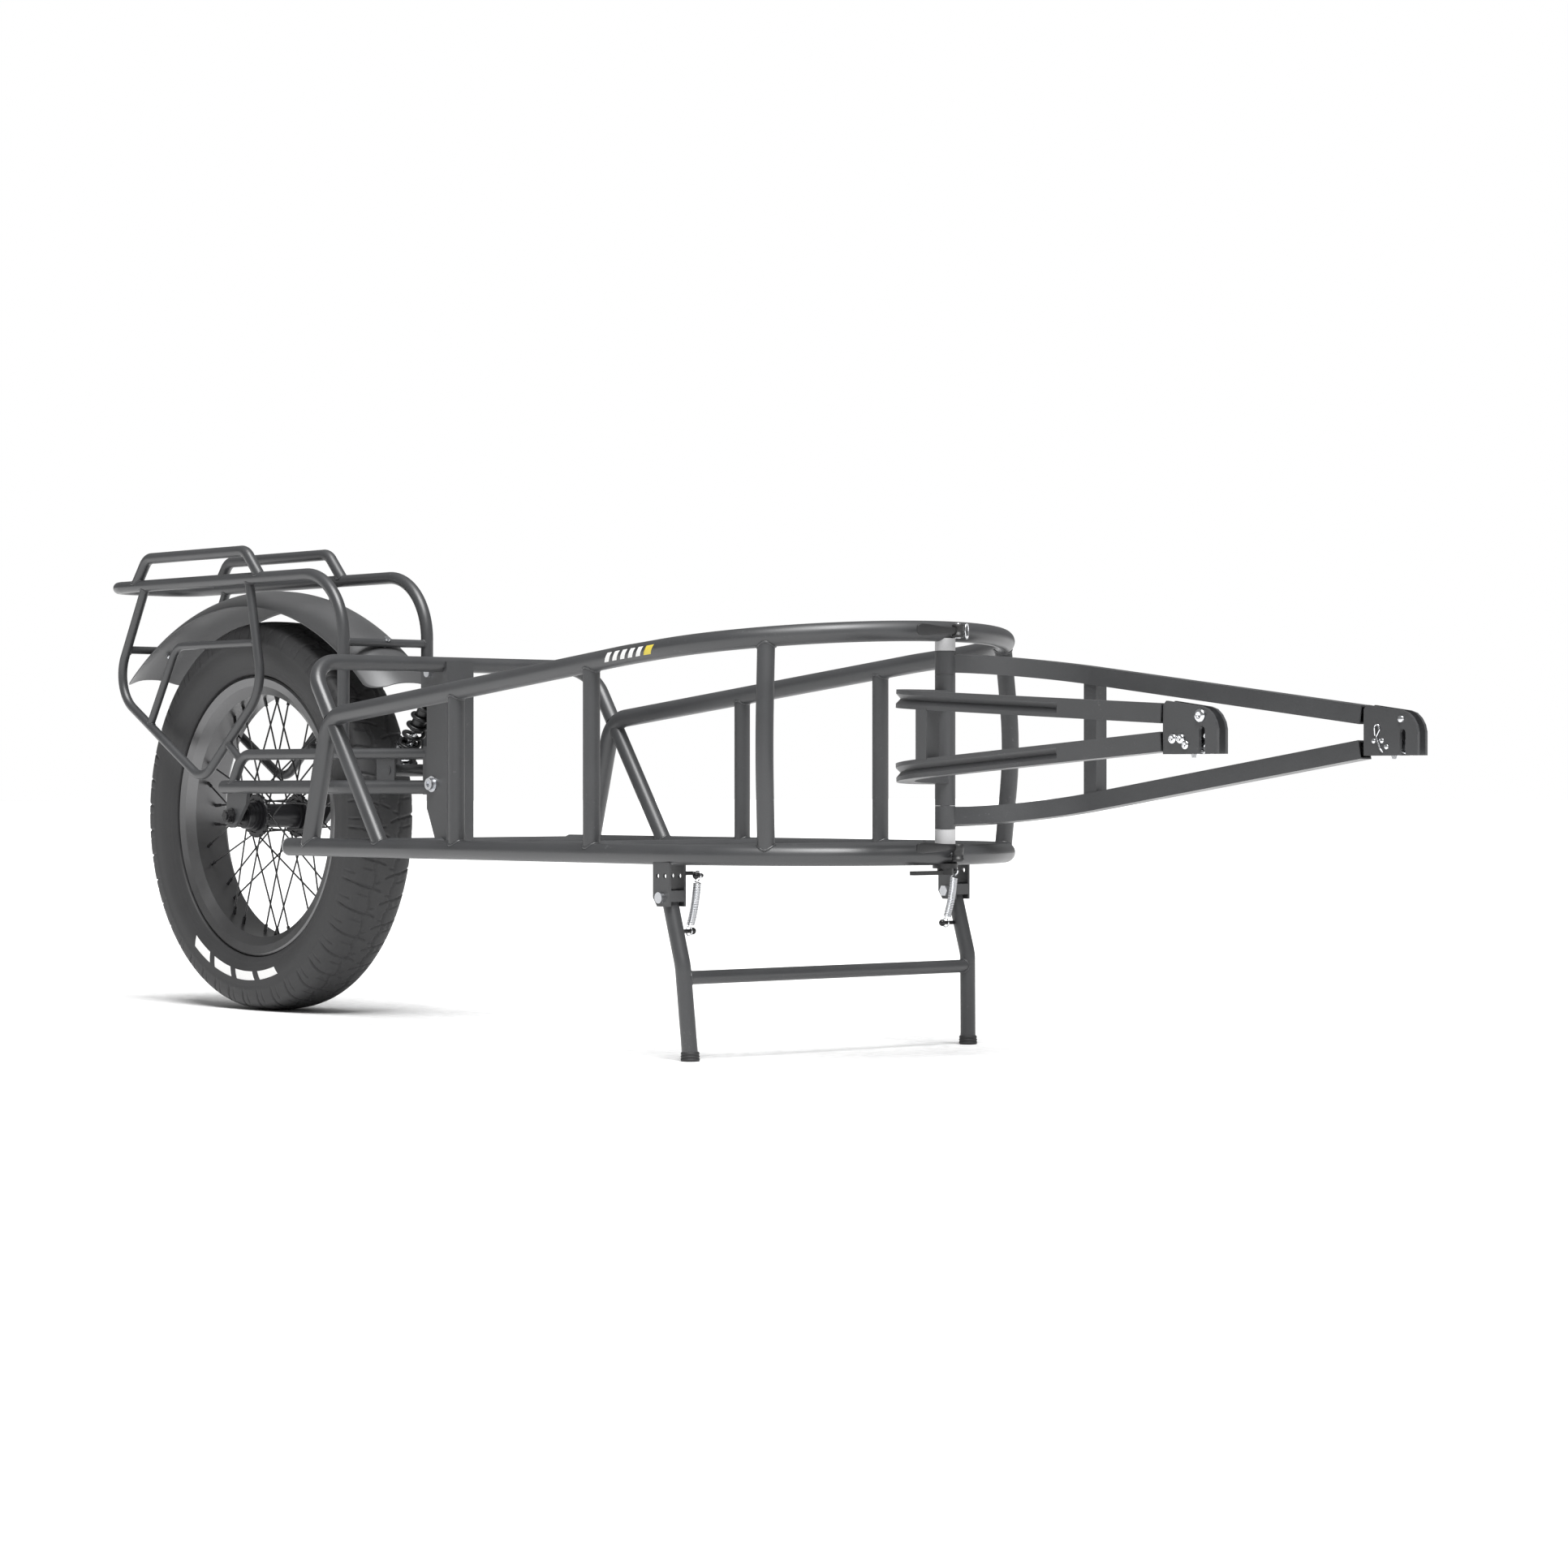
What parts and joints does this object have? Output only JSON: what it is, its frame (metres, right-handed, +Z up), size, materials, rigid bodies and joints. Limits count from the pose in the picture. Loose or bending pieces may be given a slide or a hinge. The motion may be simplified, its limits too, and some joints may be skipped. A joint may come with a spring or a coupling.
{
  "type": "single-wheel bicycle cargo trailer",
  "caption": "Suspended single-wheel cargo trailer with a tubular basket, fat tyre, rear rack, folding stand and a two-arm yoke that clips to a bicycle's rear axle.",
  "frame": {"origin": "on the floor under the middle of the trailer's overall length and width", "axes": "+X forward towards the towing bicycle, +Y to the trailer's left, +Z up"},
  "size_m": [2.4591, 0.527, 0.7026],
  "materials": {
    "frame_paint": "satin",
    "swing_paint": "satin",
    "guard_paint": "satin",
    "rim_metal": "satin",
    "hub_metal": "satin",
    "black_steel": "gloss",
    "zinc": "bright",
    "bright_chrome": "polished",
    "spacer_alloy": "satin",
    "cap_plastic": "matte",
    "black_plastic": "matte",
    "tyre_rubber": "matte",
    "foot_rubber": "matte",
    "bush_bronze": "satin"
  },
  "bodies": {
    "frame": {"lower_rail": "frame_paint", "upper_rail": "frame_paint", "side_struts": "frame_paint", "cross_tubes": "frame_paint", "rear_hoop": "frame_paint", "rear_braces": "frame_paint", "rail_end_caps": "cap_plastic", "pivot_post": "frame_paint", "head_spacer_upper": "spacer_alloy", "head_spacer_lower": "spacer_alloy", "head_pin": "zinc", "head_pin_handle": "black_plastic", "head_cross_bolt": "zinc", "pivot_bolt": "zinc", "pivot_nut": "zinc", "shock_upper_bolt": "zinc", "shock_spacers": "zinc", "stand_brackets": "frame_paint", "stand_bolts": "zinc", "spring_hooks": "black_steel"},
    "swingarm": {"swing_tubes": "swing_paint", "swing_stays": "swing_paint", "pivot_block": "swing_paint", "pivot_bushes": "bush_bronze", "shock_mount": "swing_paint", "shock_lower_bolt": "zinc", "dropouts": "swing_paint", "axle": "zinc", "axle_nuts": "zinc", "rack_deck": "swing_paint", "rack_grips": "swing_paint", "pannier_frames": "swing_paint", "guard_bars": "swing_paint", "mudguard": "guard_paint", "mudguard_bolts": "zinc"},
    "wheel": {"tyre": "tyre_rubber", "rim": "rim_metal", "spokes": "black_steel", "spoke_nipples": "black_steel", "hub": "hub_metal", "wheel_bearings": "zinc", "valve_stem": "zinc"},
    "shock_upper": {"shock_body": "black_steel", "preload_ring": "spacer_alloy"},
    "shock_lower": {"shock_rod": "bright_chrome", "shock_spring": "black_steel"},
    "kickstand": {"kickstand_legs": "frame_paint", "kickstand_feet": "foot_rubber", "spring_studs": "black_steel"},
    "stand_spring_pair": {"stand_springs": "bright_chrome"},
    "right_yoke": {"right_arm": "frame_paint", "right_hitch_plates": "frame_paint", "right_hitch_bolts": "zinc"},
    "left_yoke": {"left_arm": "frame_paint", "left_hitch_plates": "frame_paint", "left_hitch_bolts": "zinc"},
    "right_latch_lever": {"right_latch": "bright_chrome"},
    "left_latch_lever": {"left_latch": "bright_chrome"},
    "head_cam_lever": {"head_lever": "black_plastic"},
    "low_cam_lever": {"low_lever": "black_plastic"}
  },
  "joints": [
    {"name": "swingarm_pivot", "type": "hinge", "parent": "frame", "child": "swingarm", "pos_m": [-0.4225, 0, 0.343], "axis": [0, 1, 0], "range_deg": [0, 6], "stiffness_Nm_per_rad": 1500, "springref_deg": -3.44},
    {"name": "wheel_spin", "type": "hinge", "parent": "swingarm", "child": "wheel", "pos_m": [-0.8545, 0, 0.295], "axis": [0, 1, 0], "continuous": true},
    {"name": "shock_upper_pivot", "type": "hinge", "parent": "frame", "child": "shock_upper", "pos_m": [-0.4295, 0, 0.503], "axis": [0, 1, 0], "range_deg": [0, 2]},
    {"name": "shock_lower_pivot", "type": "hinge", "parent": "swingarm", "child": "shock_lower", "pos_m": [-0.5325, 0, 0.378], "axis": [0, 1, 0], "range_deg": [-5, 0], "deforming": ["shock_spring"]},
    {"name": "kickstand_fold", "type": "hinge", "parent": "frame", "child": "kickstand", "pos_m": [0.3765, 0, 0.202], "axis": [0, 1, 0], "range_deg": [0, 96]},
    {"name": "stand_spring_swing", "type": "hinge", "parent": "frame", "child": "stand_spring_pair", "pos_m": [0.4025, 0, 0.229], "axis": [0, 1, 0], "range_deg": [0, 55], "deforming": ["stand_springs"]},
    {"name": "right_arm_swing", "type": "hinge", "parent": "frame", "child": "right_yoke", "pos_m": [0.6155, 0, 0.4], "axis": [0, 0, 1], "range_deg": [-60, 12]},
    {"name": "left_arm_swing", "type": "hinge", "parent": "frame", "child": "left_yoke", "pos_m": [0.6155, 0, 0.4], "axis": [0, 0, 1], "range_deg": [-12, 60]},
    {"name": "right_latch_turn", "type": "hinge", "parent": "right_yoke", "child": "right_latch_lever", "pos_m": [1.1835, -0.17, 0.386], "axis": [0, 1, 0], "range_deg": [-55, 0], "stiffness_Nm_per_rad": 0.2, "springref_deg": 11.46},
    {"name": "left_latch_turn", "type": "hinge", "parent": "left_yoke", "child": "left_latch_lever", "pos_m": [1.1835, 0.17, 0.386], "axis": [0, 1, 0], "range_deg": [-55, 0], "stiffness_Nm_per_rad": 0.2, "springref_deg": 11.46},
    {"name": "head_lever_turn", "type": "hinge", "parent": "frame", "child": "head_cam_lever", "pos_m": [0.6382, 0, 0.532], "axis": [0, 0, 1], "range_deg": [0, 85]},
    {"name": "low_lever_turn", "type": "hinge", "parent": "frame", "child": "low_cam_lever", "pos_m": [0.6382, 0, 0.2555], "axis": [0, 0, 1], "range_deg": [0, 85]}
  ],
  "couplings": [
    {"joint": "shock_upper_pivot", "follows": "swingarm_pivot", "ratio": 0.25},
    {"joint": "shock_lower_pivot", "follows": "swingarm_pivot", "ratio": -0.75},
    {"joint": "stand_spring_swing", "follows": "kickstand_fold", "ratio": 0.536}
  ]
}
